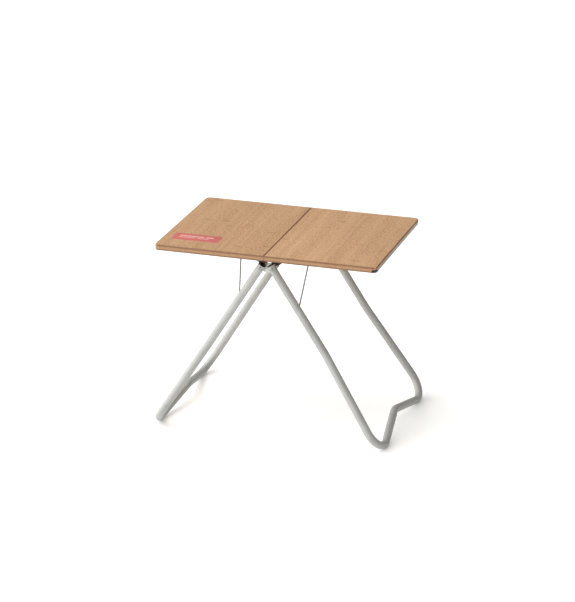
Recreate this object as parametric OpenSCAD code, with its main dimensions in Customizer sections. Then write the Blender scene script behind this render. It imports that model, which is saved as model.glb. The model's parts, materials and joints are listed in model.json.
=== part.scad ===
// Folding camp table: two hinged bamboo boards carried on two bent tube legs.
// Origin on the floor under the middle of the table.
// +X runs across the seam, +Y along the seam towards the back, +Z up.

/* [Table] */
// Overall width of the two boards, across the seam
table_w = 469; // [360:1:620]
// Depth of the boards, along the seam
table_d = 311; // [250:1:420]
// Height of the table top above the floor
table_h = 400; // [320:1:520]

/* [Boards] */
// Board thickness
board_t = 12; // [9:0.5:20]
// Plan radius of the outer corners
corner_r = 9.5; // [8:0.5:20]
// Rounding of the outer edges
edge_r = 2; // [1:0.1:3]
// Gap between the boards at the seam
seam_gap = 0.5; // [0.3:0.1:1.5]
// Rounding of the edges along the seam
seam_r = 1.2; // [0.5:0.1:2]
// Width of the metal strip let into each outer end
strip_t = 2.6; // [2.2:0.1:5]
// Height of that strip
strip_h = 6; // [4:0.5:8]
// Height of the corner bumper
bumper_h = 6.5; // [4:0.5:8]
// Thickness of the corner bumper
bumper_t = 4; // [3.2:0.1:6]
// Length of the label
label_l = 102; // [40:1:130]
// Width of the label
label_w = 38; // [15:1:60]
// Thickness of the label
label_t = 0.25; // [0.1:0.05:0.5]
// Distance of the label from the outer end of its board
label_inset = 19; // [15:1:45]
// Distance of the label from the front edge of its board
label_front = 43; // [15:1:120]

/* [Pivots] */
// Distance between the two pivot rods
rod_spacing = 25; // [24:0.5:36]
// Height of the boards' underside above the pivot rods
rod_drop = 19; // [17:0.5:26]
// Diameter of the pivot rods
rod_d = 6; // [5:0.1:7.2]
// Distance of the leg tubes from the boards' front and back edges
tube_inset = 17; // [15:0.5:30]
// Running clearance round the pivot rods
rod_play = 0.05; // [0.02:0.01:0.1]
// Side clearance between turning pieces
side_gap = 0.3; // [0.3:0.05:0.6]

/* [Legs] */
// Outer diameter of the leg tube
tube_d = 16; // [13:0.5:19.5]
// Wall thickness of the leg tube
tube_wall = 1.5; // [1:0.1:2]
// Length of tube above the pivot
tube_end = 8; // [6.5:0.5:9]
// Lean of each open leg from upright
leg_splay = 32.6; // [22:0.1:36]
// Distance from the pivot to the bend where the legs start to spread
flare_at = 206; // [150:1:250]
// Spread of the lower legs, in the plane of the frame
flare_angle = 7.4; // [3:0.1:12]
// Slope of the bottom rail from each foot up to its middle
rail_angle = 13.9; // [6:0.1:18]
// Bend radius at the feet
foot_r = 41.5; // [24:0.5:50]
// Bend radius at the middle of the bottom rail
rail_r = 43; // [20:1:60]
// Bend radius where the legs start to spread
flare_r = 68; // [40:1:120]

/* [Stays] */
// Diameter of the stay wire
wire_d = 3; // [2.4:0.1:3.6]
// Distance from the pivot to the stay's holes, along the leg
stay_at = 96; // [80:1:110]
// Distance of the stay's top bar from the pivot, along the board
bar_x = 60.5; // [50:0.5:72]
// Depth of that bar below the board
bar_drop = 11.5; // [9.6:0.1:14]
// Half the length of that bar
bar_half = 84; // [76:1:92]
// Inner bend radius at the foot of the stay
stay_foot_r = 5; // [4:0.5:7]
// Bend radius at the ends of the bar
stay_bar_r = 8; // [5:0.5:12]

/* [Hooks and brackets] */
// Distance of the hooks from the middle of the table
hook_y = 60; // [45:1:64]
// Width of each hook
hook_w = 18; // [17:0.5:22]
// Thickness of the hooks
hook_t = 2.8; // [2:0.1:3.5]
// Length of each bracket barrel
barrel_l = 12; // [9:0.5:16]
// Diameter of each bracket barrel
barrel_d = 13; // [11:0.5:15]
// Length of the bracket flange
flange_l = 46; // [44:1:54]
// Thickness of the bracket flange
flange_t = 3; // [2:0.5:4]
// Width of the bracket flange
flange_w = 24; // [23:0.5:26]
// Thickness of the hub plates
plate_t = 2.5; // [1.5:0.1:3.5]
// Diameter of the round ends of the hub plates
plate_d = 13; // [12.8:0.1:16]
// Depth of the hub plates below the pivot rods
plate_drop = 13.5; // [11:0.5:18]
// Width of the flat lower edge of the hub plates
plate_foot_w = 15; // [10:0.5:22]
// Thickness of the washers
washer_t = 1.5; // [1:0.1:2]
// Shank diameter of the wood screws
screw_d = 2.8; // [2:0.1:3.5]
// Depth that the wood screws reach into a board
screw_bite = 7; // [5:0.5:8]

/* [Hidden] */
$fn = 64;

bamboo = [0.77, 0.63, 0.48];
alloy = [0.83, 0.83, 0.81];
steel = [0.62, 0.62, 0.61];
black = [0.12, 0.11, 0.10];
label_red = [0.77, 0.47, 0.42];

eps = 0.01;
over = 1;                                   // how far a cutter runs past what it cuts

half_w = table_w / 2;
half_d = table_d / 2;
under_z = table_h - board_t;                // underside of the boards
rod_r = rod_d / 2;
rod_x = rod_spacing / 2;
rod_z = under_z - rod_drop;

// Pieces along each rod, as distances from the middle of the table
tube_r = tube_d / 2;
tube_y = half_d - tube_inset;
tube_in = tube_y - tube_r;                  // inner side of the leg tube
tube_out = tube_y + tube_r;                 // outer side of the leg tube
washer_out = tube_in - side_gap;
plate_out = washer_out - washer_t;
plate_in = plate_out - plate_t;
washer_in = plate_in - washer_t;
barrel_out = washer_in - side_gap;
barrel_in = barrel_out - barrel_l;
ring_out = barrel_in - side_gap;
ring_t = 1;
ring_depth = 0.5;                           // depth of the ring's groove in the rod
ring_r = rod_r + 2.2;
washer_r = rod_r + 3.2;
rivet_r = rod_r + 0.9;
rivet_t = 1.6;
rivet_dome = 1.6;                           // dome radius of a rivet head, over its own radius

// Collars between the straight runs and the bends of a tube or a wire
seam_t = 0.8;
seam_lip = 0.08;

// Leg frame, in its own plane with the pivot line as origin
rail_corner = (90 - flare_angle - rail_angle) / 2;
foot_lift = foot_r * (sin(rail_angle + rail_corner) / sin(rail_corner) - 1);
foot_drop = (rod_z - tube_r) / cos(leg_splay) + foot_lift;
foot_y = tube_y + (foot_drop - flare_at) * tan(flare_angle);
rail_drop = foot_drop - foot_y * tan(rail_angle);
leg_path = [[-tube_y, tube_end], [-tube_y, -flare_at], [-foot_y, -foot_drop], [0, -rail_drop],
            [foot_y, -foot_drop], [tube_y, -flare_at], [tube_y, tube_end]];
leg_bends = [0, flare_r, foot_r, rail_r, foot_r, flare_r, 0];
plug_lip = 1.5;
plug_l = 20;
plug_play = 0.05;

// Stay, in its own plane with its two holes as origin
wire_r = wire_d / 2;
wire_in_tube = 7;                           // how far the wire reaches through the tube's wall
stay_inset = 5;                             // from the tube's side to the corner of the wire
hole_x = rod_x + stay_at * sin(leg_splay);
hole_z = rod_z - stay_at * cos(leg_splay);
stay_dx = rod_x + bar_x - hole_x;
stay_dz = under_z - bar_drop - hole_z;
stay_l = norm([stay_dx, stay_dz]);
stay_lean = atan2(stay_dx, stay_dz);
stay_foot_y = tube_in - stay_inset;
wire_end_y = tube_in + wire_in_tube;
stay_path = [[-wire_end_y, 0], [-stay_foot_y, 0], [-bar_half, stay_l], [bar_half, stay_l],
             [stay_foot_y, 0], [wire_end_y, 0]];
stay_bends = [0, stay_foot_r, stay_bar_r, stay_bar_r, stay_foot_r, 0];
bush_r = wire_r + 1.2;
bush_lip_r = wire_r + 2.4;
bush_lip = 1;
bush_l = 3.2;

// Hooks, with the centre of the stay's bar as origin
hook_gap = 0.3;
hook_in_r = wire_r + hook_gap;
hook_out_r = hook_in_r + hook_t;
hook_floor = 6.5;                           // reach of the hook under the bar
hook_lip = 1.1;
hook_lip_w = 1.4;
hook_plate_l = 21;
hook_plate_t = 3;
hook_screw_x = -12.5;
hook_screw_y = 4.6;

// Brackets, with the rod as origin
bracket_half = 8.5;
rib_w = 4;
rib_l = 30;
flange_y = (barrel_in + barrel_out) / 2 - 1;
bracket_screw_x = [17, 33];
bracket_screw_y = 7.2;
flange_round = 4;

// Wood screws
screw_r = screw_d / 2;
screw_head_r = screw_r + 1.7;
screw_head_t = 1.8;
screw_dome = 1.4;                           // dome radius of a screw head, over its own radius
screw_play = 0.05;
slot_l = 3.2;
slot_w = 0.7;
slot_depth = 0.9;

// Hub plates, as circles round the rods and at the lower corners
plate_r = plate_d / 2;
plate_corner_r = 2;
plate_corner = [plate_foot_w / 2, plate_corner_r - plate_drop];

// Label's centre on the left board
label_r = 5;
label_x = half_w - label_inset - label_l / 2;
label_y = label_front + label_w / 2 - half_d;

function unit(v) = v / norm(v);
function cross_z(a, b) = a.x * b.y - a.y * b.x;
function turn_at(a, b, c) = (cross_z(b - a, c - b) > 0 ? 1 : -1) * acos(unit(b - a) * unit(c - b));
function setback(a, b, c, bend_r) = bend_r * tan(abs(turn_at(a, b, c)) / 2);
function stretched(path, extra) = let(last = len(path) - 1)
    [for (i = [0:last])
        i == 0 ? path[0] + extra * unit(path[0] - path[1]) :
        i == last ? path[last] + extra * unit(path[last] - path[last - 1]) : path[i]];

// A bend that starts at the origin along +X and turns by an angle in the XY plane
module bend(turn, bend_r, r) {
    side = sign(turn);
    translate([0, side * bend_r, 0])
        rotate([0, 0, side > 0 ? -90 : 90 + turn])
            rotate_extrude(angle = abs(turn))
                translate([bend_r, 0])
                    circle(r);
}

// Thin collar that joins a straight run to a bend, centred on the origin along X
module seam_collar(r) {
    translate([-seam_t / 2, 0, 0])
        rotate([0, 90, 0])
            cylinder(h = seam_t, r = r + seam_lip);
}

// Straight run number i of a path along +X, then its bend, then the rest of the path
module run_and_bend(path, bends, back, i, r) {
    run_l = norm(path[i + 1] - path[i]) - back[i] - back[i + 1];
    first = i == 0 ? 0 : seam_t / 4;
    last = i == len(path) - 2 ? 0 : seam_t / 4;
    if (i > 0)
        seam_collar(r);
    translate([first, 0, 0])
        rotate([0, 90, 0])
            cylinder(h = run_l - first - last, r = r);
    if (i < len(path) - 2) {
        turn = turn_at(path[i], path[i + 1], path[i + 2]);
        centre = [0, sign(turn) * bends[i + 1], 0];
        translate([run_l, 0, 0]) {
            seam_collar(r);
            bend(turn, bends[i + 1], r);
            translate(centre)
                rotate([0, 0, turn])
                    translate(-centre)
                        run_and_bend(path, bends, back, i + 1, r);
        }
    }
}

// A round bar bent to a flat path, stood up so that the path lies in the YZ plane
module bent_rod(path, bends, r, extra = 0) {
    route = stretched(path, extra);
    last = len(route) - 1;
    run = route[1] - route[0];
    back = [for (i = [0:last])
        i == 0 || i == last ? 0 : setback(route[i - 1], route[i], route[i + 1], bends[i])];
    rotate([90, 0, 90])
        translate([route[0].x, route[0].y, 0])
            rotate([0, 0, atan2(run.y, run.x)])
                run_and_bend(route, bends, back, 0, r);
}

// A cylinder along Y between two distances from the middle, on the front (-1) or back (1)
module along_y(side, from, to, r) {
    translate([0, side * (side > 0 ? from : to), 0])
        rotate([side > 0 ? -90 : 90, 0, 0])
            mirror([0, 0, side > 0 ? 0 : 1])
                cylinder(h = to - from, r = r);
}

// Moves to the pivot rod of the right leg
module at_rod() {
    translate([rod_x, 0, rod_z])
        children();
}

// Moves to the right leg's own plane
module at_leg() {
    at_rod()
        rotate([0, -leg_splay, 0])
            children();
}

// Repeats its children on the left of the seam
module on_left() {
    mirror([1, 0, 0])
        children();
}

// Section of the outer end of a board, from the corner's centre outwards
module end_section() {
    square([corner_r - edge_r, board_t]);
    translate([0, edge_r])
        square([corner_r, board_t - 2 * edge_r]);
    for (z = [edge_r, board_t - edge_r])
        translate([corner_r - edge_r, z])
            circle(edge_r);
}

// Section of a board across its depth
module depth_section() {
    translate([-half_d + edge_r, 0])
        square([table_d - 2 * edge_r, board_t]);
    translate([-half_d, edge_r])
        square([table_d, board_t - 2 * edge_r]);
    for (y = [-1, 1], z = [edge_r, board_t - edge_r])
        translate([y * (half_d - edge_r), z])
            circle(edge_r);
}

// Lower outer part of the end section: thickness t, height h
module end_section_low(t, h) {
    intersection() {
        end_section();
        translate([corner_r - t, -over])
            square([t + over, h + over]);
    }
}

// Stands a section up along the outer end of the right board
module along_end() {
    translate([half_w - corner_r, half_d - corner_r, under_z])
        rotate([90, 0, 0])
            linear_extrude(table_d - 2 * corner_r)
                children();
}

// Turns a section round an outer corner of the right board
module round_corner(side) {
    translate([half_w - corner_r, side * (half_d - corner_r), under_z])
        rotate([0, 0, side > 0 ? 0 : -90])
            rotate_extrude(angle = 90)
                children();
}

// Places of the bracket screws from the rod, and of the hook screws from the stay's bar
module at_bracket_screws(side) {
    for (x = bracket_screw_x, y = [-1, 1])
        translate([rod_x + x, side * flange_y + y * bracket_screw_y, 0])
            children();
}

module at_hook_screws(side) {
    for (y = [-1, 1])
        translate([rod_x + bar_x + hook_screw_x, side * hook_y + y * hook_screw_y, 0])
            children();
}

// Cuts the rounding of the seam edge, at the top or the bottom of a board
module seam_rounding(z, up) {
    translate([seam_gap / 2, 0, z])
        difference() {
            translate([-over, -half_d - over, up > 0 ? -seam_r : -over])
                cube([over + seam_r, table_d + 2 * over, seam_r + over]);
            translate([seam_r, half_d + 2 * over, -up * seam_r])
                rotate([90, 0, 0])
                    cylinder(h = table_d + 4 * over, r = seam_r);
        }
}

// The right board, with room for its strip, screws and, on one side, a corner bumper
module board(bumper) {
    difference() {
        union() {
            translate([seam_gap / 2, 0, under_z])
                rotate([90, 0, 90])
                    linear_extrude(half_w - corner_r - seam_gap / 2)
                        depth_section();
            along_end()
                end_section();
            for (side = [-1, 1])
                round_corner(side)
                    end_section();
        }
        seam_rounding(table_h, 1);
        seam_rounding(under_z, -1);
        translate([half_w - strip_t, corner_r - half_d, under_z - over])
            cube([strip_t + over, table_d - 2 * corner_r, strip_h + over]);
        if (bumper)
            round_corner(-1)
                translate([corner_r - bumper_t, -over])
                    square([bumper_t + over, bumper_h + over]);
        for (side = [-1, 1]) {
            at_bracket_screws(side)
                screw_hole();
            at_hook_screws(side)
                screw_hole();
        }
    }
}

module screw_hole() {
    translate([0, 0, under_z - over])
        cylinder(h = screw_bite + over + side_gap, r = screw_r + screw_play);
}

module left_board() {
    color(bamboo)
        on_left()
            board(false);
}

module right_board() {
    color(bamboo)
        board(true);
}

module end_strip() {
    along_end()
        end_section_low(strip_t, strip_h);
}

module left_end_strip() {
    color(alloy)
        on_left()
            end_strip();
}

module right_end_strip() {
    color(alloy)
        end_strip();
}

module corner_bumper() {
    color(black)
        round_corner(-1)
            end_section_low(bumper_t, bumper_h);
}

module label() {
    color(label_red)
        translate([-label_x, label_y, table_h]) {
            for (x = [-1, 1], y = [-1, 1])
                translate([x * (label_l / 2 - label_r), y * (label_w / 2 - label_r), 0])
                    cylinder(h = label_t, r = label_r);
            translate([-label_l / 2 + label_r, -label_w / 2, 0])
                cube([label_l - 2 * label_r, label_w, label_t]);
            translate([-label_l / 2, -label_w / 2 + label_r, 0])
                cube([label_l, label_w - 2 * label_r, label_t]);
        }
}

// The right leg: one tube bent into a frame, drilled for the rod and the stay
module leg_tube() {
    at_leg()
        difference() {
            bent_rod(leg_path, leg_bends, tube_r);
            bent_rod(leg_path, leg_bends, tube_r - tube_wall, over);
            translate([0, 0, tube_end - plug_lip])
                for (side = [-1, 1])
                    translate([0, side * tube_y, 0])
                        cylinder(h = plug_lip + over, r = tube_r + over);
            for (side = [-1, 1]) {
                along_y(side, tube_in - over, tube_out + over, rod_r + rod_play);
                translate([0, 0, -stay_at])
                    along_y(side, tube_in - over, tube_y, bush_r + rod_play);
            }
        }
}

module left_leg_tube() {
    color(alloy)
        on_left()
            leg_tube();
}

module right_leg_tube() {
    color(alloy)
        leg_tube();
}

// Plugs in the upper ends of the leg tube, bored for the rod
module tube_plugs() {
    at_leg()
        for (side = [-1, 1])
            difference() {
                translate([0, side * tube_y, 0]) {
                    translate([0, 0, tube_end - plug_lip])
                        cylinder(h = plug_lip, r = tube_r);
                    translate([0, 0, tube_end - plug_l])
                        cylinder(h = plug_l - plug_lip + eps, r = tube_r - tube_wall - plug_play);
                }
                along_y(side, tube_in - over, tube_out + over, rod_r + rod_play);
            }
}

module left_tube_plugs() {
    color(black)
        on_left()
            tube_plugs();
}

module right_tube_plugs() {
    color(black)
        tube_plugs();
}

// A rod from front to back with a riveted head at each end and grooves for the rings
module pivot_rod() {
    at_rod()
        difference() {
            union() {
                translate([0, -tube_out - side_gap - eps, 0])
                    rotate([-90, 0, 0])
                        cylinder(h = 2 * (tube_out + side_gap + eps), r = rod_r);
                for (side = [-1, 1])
                    translate([0, side * (tube_out + side_gap), 0])
                        rotate([side * -90, 0, 0])
                            rivet_head();
            }
            for (side = [-1, 1])
                difference() {
                    along_y(side, ring_out - ring_t, ring_out, rod_r + over);
                    along_y(side, ring_out - ring_t - over, ring_out + over, rod_r - ring_depth);
                }
        }
}

module rivet_head() {
    rotate_extrude()
        intersection() {
            square([rivet_r, rivet_t]);
            translate([0, rivet_t - rivet_r * rivet_dome])
                circle(rivet_r * rivet_dome);
        }
}

module left_pivot_rod() {
    color(steel)
        on_left()
            pivot_rod();
}

module right_pivot_rod() {
    color(steel)
        pivot_rod();
}

// Outline of a hub plate: two round ends and a narrower lower edge with rounded corners
module plate_outline() {
    down = unit(plate_corner - [rod_x, 0]);
    turn = acos((plate_r - plate_corner_r) / norm(plate_corner - [rod_x, 0]));
    out = [down.x * cos(turn) - down.y * sin(turn), down.x * sin(turn) + down.y * cos(turn)];
    end_touch = [rod_x, 0] + (plate_r - eps) * out;
    corner_touch = plate_corner + (plate_corner_r - eps) * out;
    for (side = [-1, 1]) {
        translate([side * rod_x, 0])
            circle(plate_r);
        translate([side * plate_corner.x, plate_corner.y])
            circle(plate_corner_r);
    }
    top = plate_r - eps;
    foot = eps - plate_drop;
    polygon([[rod_x, top], [-rod_x, top], [-rod_x, 0],
             [-end_touch.x, end_touch.y], [-corner_touch.x, corner_touch.y],
             [-plate_corner.x, plate_corner.y], [-plate_corner.x, foot], [plate_corner.x, foot],
             plate_corner, corner_touch, end_touch, [rod_x, 0]]);
}

// Plate that joins the two rods and keeps them apart
module hub_plate(side) {
    color(alloy)
        translate([0, 0, rod_z])
            difference() {
                translate([0, side > 0 ? plate_out : -plate_in, 0])
                    rotate([90, 0, 0])
                        linear_extrude(plate_t)
                            plate_outline();
                for (x = [-rod_x, rod_x])
                    translate([x, 0, 0])
                        along_y(side, plate_in - over, plate_out + over, rod_r);
            }
}

module front_hub_plate() {
    hub_plate(-1);
}

module rear_hub_plate() {
    hub_plate(1);
}

// Washers on both faces of a hub plate, on both rods
module washers(side) {
    color(steel)
        for (x = [-rod_x, rod_x], from = [washer_in, plate_out])
            translate([x, 0, rod_z])
                difference() {
                    along_y(side, from, from + washer_t, washer_r);
                    along_y(side, from - over, from + washer_t + over, rod_r);
                }
}

module front_washers() {
    washers(-1);
}

module rear_washers() {
    washers(1);
}

// Split rings that keep the brackets in place on the rods
module retaining_rings() {
    color(steel)
        for (x = [-rod_x, rod_x], side = [-1, 1])
            translate([x, 0, rod_z])
                difference() {
                    along_y(side, ring_out - ring_t, ring_out, ring_r);
                    along_y(side, ring_out - ring_t - over, ring_out + over, rod_r - ring_depth);
                    translate([-rod_r / 2, side * (ring_out - ring_t / 2) - ring_t, -ring_r - over])
                        cube([rod_r, 2 * ring_t, ring_r + over]);
                }
}

// Bracket that hangs the right board on its rod: barrel, web, rib and screwed flange
module bracket(side) {
    at_rod()
        difference() {
            union() {
                along_y(side, barrel_in, barrel_out, barrel_d / 2);
                translate([0, side > 0 ? barrel_out : -barrel_in, 0])
                    rotate([90, 0, 0])
                        linear_extrude(barrel_l)
                            polygon([[-barrel_d / 2, 0], [barrel_d / 2, 0],
                                     [bracket_half, rod_drop], [-bracket_half, rod_drop]]);
                translate([0, side * flange_y + rib_w / 2, 0])
                    rotate([90, 0, 0])
                        linear_extrude(rib_w)
                            polygon([[0, 0], [barrel_d / 2, 0], [rib_l, rod_drop - flange_t],
                                     [rib_l, rod_drop - eps], [0, rod_drop - eps]]);
                translate([0, 0, rod_drop - flange_t])
                    bracket_flange(side);
            }
            along_y(side, barrel_in - over, barrel_out + over, rod_r + rod_play);
            translate([-rod_x, 0, -rod_z])
                at_bracket_screws(side)
                    translate([0, 0, under_z - flange_t - over])
                        cylinder(h = flange_t + 2 * over, r = screw_r + screw_play);
        }
}

module bracket_flange(side) {
    translate([-bracket_half, side * flange_y - flange_w / 2, 0])
        cube([flange_l - flange_round, flange_w, flange_t]);
    translate([-bracket_half, side * flange_y - flange_w / 2 + flange_round, 0])
        cube([flange_l, flange_w - 2 * flange_round, flange_t]);
    for (y = [-1, 1])
        translate([flange_l - bracket_half - flange_round,
                   side * flange_y + y * (flange_w / 2 - flange_round), 0])
            cylinder(h = flange_t, r = flange_round);
}

module left_front_bracket() {
    color(black)
        on_left()
            bracket(-1);
}

module left_rear_bracket() {
    color(black)
        on_left()
            bracket(1);
}

module right_front_bracket() {
    color(black)
        bracket(-1);
}

module right_rear_bracket() {
    color(black)
        bracket(1);
}

// Cross-slotted wood screw, its head's seat at z = 0 and its shank upwards
module screw(grip) {
    difference() {
        union() {
            cylinder(h = grip + screw_bite, r = screw_r);
            rotate([180, 0, 0])
                rotate_extrude()
                    intersection() {
                        square([screw_head_r, screw_head_t]);
                        translate([0, screw_head_t - screw_head_r * screw_dome])
                            circle(screw_head_r * screw_dome);
                    }
        }
        for (turn = [0, 90])
            rotate([0, 0, turn])
                translate([-slot_l / 2, -slot_w / 2, -screw_head_t - over])
                    cube([slot_l, slot_w, over + slot_depth]);
    }
}

module bracket_screws() {
    for (side = [-1, 1])
        at_bracket_screws(side)
            translate([0, 0, under_z - flange_t])
                screw(flange_t);
}

module left_bracket_screws() {
    color(steel)
        on_left()
            bracket_screws();
}

module right_bracket_screws() {
    color(steel)
        bracket_screws();
}

// Right stay: a wire from the front tube up to a bar under the board and down to the back tube
module stay() {
    translate([hole_x, 0, hole_z])
        rotate([0, stay_lean, 0])
            bent_rod(stay_path, stay_bends, wire_r);
}

module left_stay() {
    color(steel)
        on_left()
            stay();
}

module right_stay() {
    color(steel)
        stay();
}

// Flanged bushes that line the stay's holes in the leg tube
module stay_bushes() {
    at_leg()
        translate([0, 0, -stay_at])
            for (side = [-1, 1])
                difference() {
                    union() {
                        along_y(side, tube_in - eps, tube_in + bush_l, bush_r);
                        along_y(side, tube_in - bush_lip, tube_in, bush_lip_r);
                    }
                    along_y(side, tube_in - bush_lip - over, tube_in + bush_l + over,
                            wire_r + rod_play);
                }
}

module left_stay_bushes() {
    color(black)
        on_left()
            stay_bushes();
}

module right_stay_bushes() {
    color(black)
        stay_bushes();
}

// Hook under the right board, open outwards, that the stay's bar sits in
module hook(side) {
    plate_z = bar_drop - hook_plate_t;
    translate([rod_x + bar_x, side * hook_y + hook_w / 2, under_z - bar_drop])
        difference() {
            rotate([90, 0, 0])
                linear_extrude(hook_w) {
                    translate([-hook_in_r - hook_plate_l, plate_z])
                        square([hook_plate_l, hook_plate_t]);
                    translate([-hook_out_r, 0])
                        square([hook_t, bar_drop - eps]);
                    difference() {
                        circle(hook_out_r);
                        circle(hook_in_r);
                        translate([-hook_out_r - over, 0])
                            square(2 * (hook_out_r + over));
                        translate([0, -hook_out_r - over])
                            square(2 * (hook_out_r + over));
                    }
                    translate([0, -hook_out_r])
                        square([hook_floor, hook_t]);
                    translate([hook_floor - hook_lip_w, -hook_out_r])
                        square([hook_lip_w, hook_t + hook_lip]);
                }
            translate([hook_screw_x, -hook_w / 2, 0])
                for (y = [-1, 1])
                    translate([0, y * hook_screw_y, plate_z - over])
                        cylinder(h = hook_plate_t + 2 * over, r = screw_r + screw_play);
        }
}

module left_front_hook() {
    color(black)
        on_left()
            hook(-1);
}

module left_rear_hook() {
    color(black)
        on_left()
            hook(1);
}

module right_front_hook() {
    color(black)
        hook(-1);
}

module right_rear_hook() {
    color(black)
        hook(1);
}

module hook_screws() {
    for (side = [-1, 1])
        at_hook_screws(side)
            translate([0, 0, under_z - hook_plate_t])
                screw(hook_plate_t);
}

module left_hook_screws() {
    color(steel)
        on_left()
            hook_screws();
}

module right_hook_screws() {
    color(steel)
        hook_screws();
}

left_board();
right_board();
left_end_strip();
right_end_strip();
corner_bumper();
label();
left_leg_tube();
right_leg_tube();
left_tube_plugs();
right_tube_plugs();
left_pivot_rod();
right_pivot_rod();
front_hub_plate();
rear_hub_plate();
front_washers();
rear_washers();
retaining_rings();
left_front_bracket();
left_rear_bracket();
right_front_bracket();
right_rear_bracket();
left_bracket_screws();
right_bracket_screws();
left_stay();
right_stay();
left_stay_bushes();
right_stay_bushes();
left_front_hook();
left_rear_hook();
right_front_hook();
right_rear_hook();
left_hook_screws();
right_hook_screws();
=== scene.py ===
"""Folding camp table: bamboo boards, bent tube legs, wire stays and their fittings."""

import json
import math

import bmesh
import bpy
from bpy.props import (
    FloatProperty,
    FloatVectorProperty,
    IntProperty,
    PointerProperty,
)
from mathutils import Matrix, Vector
from mathutils.geometry import convex_hull_2d


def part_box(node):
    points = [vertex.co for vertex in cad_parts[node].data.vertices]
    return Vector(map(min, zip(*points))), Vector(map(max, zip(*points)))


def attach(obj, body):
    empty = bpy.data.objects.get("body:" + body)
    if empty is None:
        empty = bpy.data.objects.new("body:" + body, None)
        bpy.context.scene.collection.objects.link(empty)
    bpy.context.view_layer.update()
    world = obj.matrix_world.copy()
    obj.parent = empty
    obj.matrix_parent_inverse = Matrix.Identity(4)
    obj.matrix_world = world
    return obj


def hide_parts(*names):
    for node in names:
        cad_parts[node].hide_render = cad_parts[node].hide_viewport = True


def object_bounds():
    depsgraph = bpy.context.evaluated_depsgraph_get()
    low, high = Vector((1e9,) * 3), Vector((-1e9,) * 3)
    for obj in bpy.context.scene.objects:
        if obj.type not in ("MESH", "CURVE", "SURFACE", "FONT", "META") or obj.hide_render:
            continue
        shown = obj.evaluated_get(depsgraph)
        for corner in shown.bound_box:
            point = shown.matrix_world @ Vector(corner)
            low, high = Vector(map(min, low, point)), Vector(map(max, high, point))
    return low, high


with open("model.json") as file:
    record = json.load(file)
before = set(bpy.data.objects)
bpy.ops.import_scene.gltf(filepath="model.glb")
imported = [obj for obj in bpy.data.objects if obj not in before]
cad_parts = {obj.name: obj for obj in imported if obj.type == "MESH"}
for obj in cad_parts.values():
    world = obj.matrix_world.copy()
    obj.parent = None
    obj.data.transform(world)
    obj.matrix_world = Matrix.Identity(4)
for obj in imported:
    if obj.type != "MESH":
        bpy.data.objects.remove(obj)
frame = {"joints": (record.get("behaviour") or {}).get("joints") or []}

bl_info = {
    "name": "Folding camp table",
    "version": (1, 0, 0),
    "blender": (4, 5, 0),
    "location": "View3D > Sidebar > Camp Table",
    "description": "Builds the boards, legs, stays and fittings of a folding camp table",
    "category": "Add Mesh",
}

MM = 0.001
CAD_BOX = [list(corner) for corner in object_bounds()]
BOARD_LOW, BOARD_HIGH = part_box("right_board")
BOARD_T = BOARD_HIGH.z - BOARD_LOW.z
STRIP_LOW, STRIP_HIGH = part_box("right_end_strip")
STRIP_T, STRIP_H = STRIP_HIGH.x - STRIP_LOW.x, STRIP_HIGH.z - STRIP_LOW.z
BUMPER_LOW, BUMPER_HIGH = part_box("corner_bumper")
BUMPER_H, BUMPER_T = BUMPER_HIGH.z - BUMPER_LOW.z, 4 * MM
LABEL_LOW, LABEL_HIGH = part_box("label")
PLATE_LOW, PLATE_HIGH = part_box("front_hub_plate")
PLATE_T = PLATE_HIGH.y - PLATE_LOW.y
JOINTS = {joint["name"]: joint for joint in frame["joints"]}
ROD = Vector(JOINTS["right_board_fold"]["pos_m"])
STAY_HOLE = Vector(JOINTS["right_stay_swing"]["pos_m"])
SIDES = (("left", -1), ("right", 1))
ENDS = (("front", -1), ("rear", 1))
CORNER_STEPS, ROUND_STEPS = 14, 6
SHARP_ANGLE = math.radians(32)
SAME_PLACE = 1e-7
RUNNING_GAP = 0.05 * MM
DRAWN_WIDTH = 0.05
PLUG_LIP = 1.5 * MM
PLATE_CORNER_X, PLATE_CORNER_R = 7.5 * MM, 2 * MM
BRACKET_SCREW_X, BRACKET_SCREW_Y = (17 * MM, 33 * MM), 7.2 * MM
HOOK_SCREW_BACK, HOOK_SCREW_Y = 12.5 * MM, 4.6 * MM
HOOK_PLATE_T = 3 * MM


def length(text, default, description):
    """A property that holds a length in metres."""
    return FloatProperty(name=text, description=description, default=default,
                         min=0.0, precision=5, unit="LENGTH")


def colour(text, default, description):
    """A property that holds a colour, given as a six-figure sRGB value."""
    return FloatVectorProperty(name=text, description=description, subtype="COLOR", size=3,
                               min=0.0, max=1.0, default=linear(default))


def linear(code):
    """Scene-linear red, green and blue of a six-figure sRGB value."""
    shares = [int(code[i:i + 2], 16) / 255 for i in (0, 2, 4)]
    return [c / 12.92 if c <= 0.04045 else ((c + 0.055) / 1.055) ** 2.4 for c in shares]


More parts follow.
